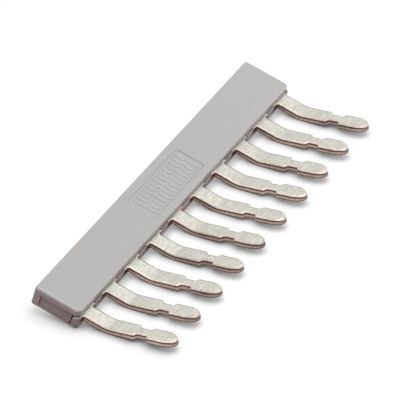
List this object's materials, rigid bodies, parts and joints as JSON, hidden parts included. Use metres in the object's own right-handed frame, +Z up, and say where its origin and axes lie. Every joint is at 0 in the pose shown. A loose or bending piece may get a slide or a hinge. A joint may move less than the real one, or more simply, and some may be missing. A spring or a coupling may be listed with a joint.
{
  "type": "terminal jumper",
  "caption": "Plug-in comb jumper: a slim insulated bar with one row of bent, necked contact tines that bridges neighbouring rail terminals.",
  "frame": {"origin": "centre of the box's underside, on the surface that the jumper lies on", "axes": "+X along the bar, -Y toward the tips of the tines, +Z up"},
  "size_m": [0.0606, 0.0216, 0.0047],
  "materials": {
    "cover_plastic": "moulded, fine satin grain",
    "strip_plastic": "moulded, satin",
    "tinned_copper": "tin-plated copper sheet, satin, bare copper on the cut edges"
  },
  "bodies": {
    "root": {"cover": "cover_plastic", "closing_strip": "strip_plastic", "contact_comb": "tinned_copper"}
  },
  "joints": []
}
